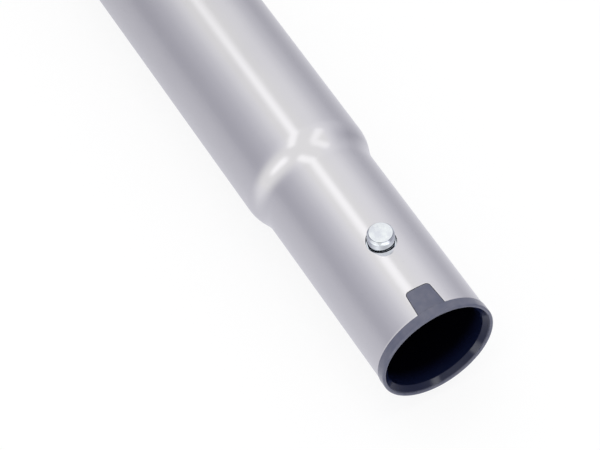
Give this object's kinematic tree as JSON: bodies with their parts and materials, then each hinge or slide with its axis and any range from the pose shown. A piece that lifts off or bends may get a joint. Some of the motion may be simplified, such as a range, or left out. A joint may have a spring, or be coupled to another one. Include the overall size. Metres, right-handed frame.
{
  "type": "telescopic vacuum wand",
  "caption": "Telescopic suction tube, collapsed: swaged nozzle end with a sprung snap button, a slide lock with a roller in a notched inner tube, and a hose socket.",
  "frame": {"origin": "centre of the end ring's front face, on the tube's axis", "axes": "+X along the tube, out of the nozzle end; +Z towards the snap button and the lock's thumb pad; the housing's flat faces -Z"},
  "size_m": [0.622, 0.05, 0.054],
  "materials": {
    "tube_metal": "satin chromed steel",
    "ring_plastic": "fine satin",
    "button_metal": "turned and polished",
    "spring_metal": "bright spring steel",
    "lock_metal": "ground steel",
    "screw_metal": "zinc plated",
    "housing_plastic": "fine grain",
    "slider_plastic": "satin",
    "bush_plastic": "waxy",
    "pad_rubber": "matte",
    "seal_rubber": "matte",
    "wiper_felt": "pressed felt"
  },
  "bodies": {
    "outer": {"outer_tube": "tube_metal", "end_ring": "ring_plastic", "button_spring": "spring_metal", "spring_rivet": "lock_metal", "guide_bush": "bush_plastic", "wiper_seal": "wiper_felt", "mouth_collar": "slider_plastic", "saddle_plate": "lock_metal", "slider_springs": "spring_metal", "housing_upper": "housing_plastic", "housing_lower": "housing_plastic", "housing_screws": "screw_metal"},
    "button": {"snap_button": "button_metal"},
    "slider": {"release_slider": "slider_plastic", "thumb_pad": "pad_rubber"},
    "roller": {"lock_roller": "lock_metal"},
    "inner": {"inner_tube": "tube_metal", "tail_bush": "bush_plastic", "tail_seal": "seal_rubber", "hose_cuff": "housing_plastic", "cuff_seal": "seal_rubber", "cuff_pins": "lock_metal"}
  },
  "joints": [
    {"name": "tube_slide", "type": "slide", "parent": "outer", "child": "inner", "axis": [-1, 0, 0], "range_m": [0, 0.36]},
    {"name": "button_press", "type": "slide", "parent": "outer", "child": "button", "axis": [0, 0, -1], "range_m": [0, 0.0035], "stiffness_N_per_m": 1500, "springref_m": -0.001, "deforming": ["button_spring"]},
    {"name": "slider_release", "type": "slide", "parent": "outer", "child": "slider", "axis": [1, 0, 0], "range_m": [0, 0.008], "stiffness_N_per_m": 600, "springref_m": -0.003, "deforming": ["slider_springs"]},
    {"name": "roller_lift", "type": "slide", "parent": "outer", "child": "roller", "axis": [0, 0, 1], "range_m": [0, 0.0016]}
  ],
  "couplings": [
    {"joint": "roller_lift", "follows": "slider_release", "ratio": 0.2}
  ]
}
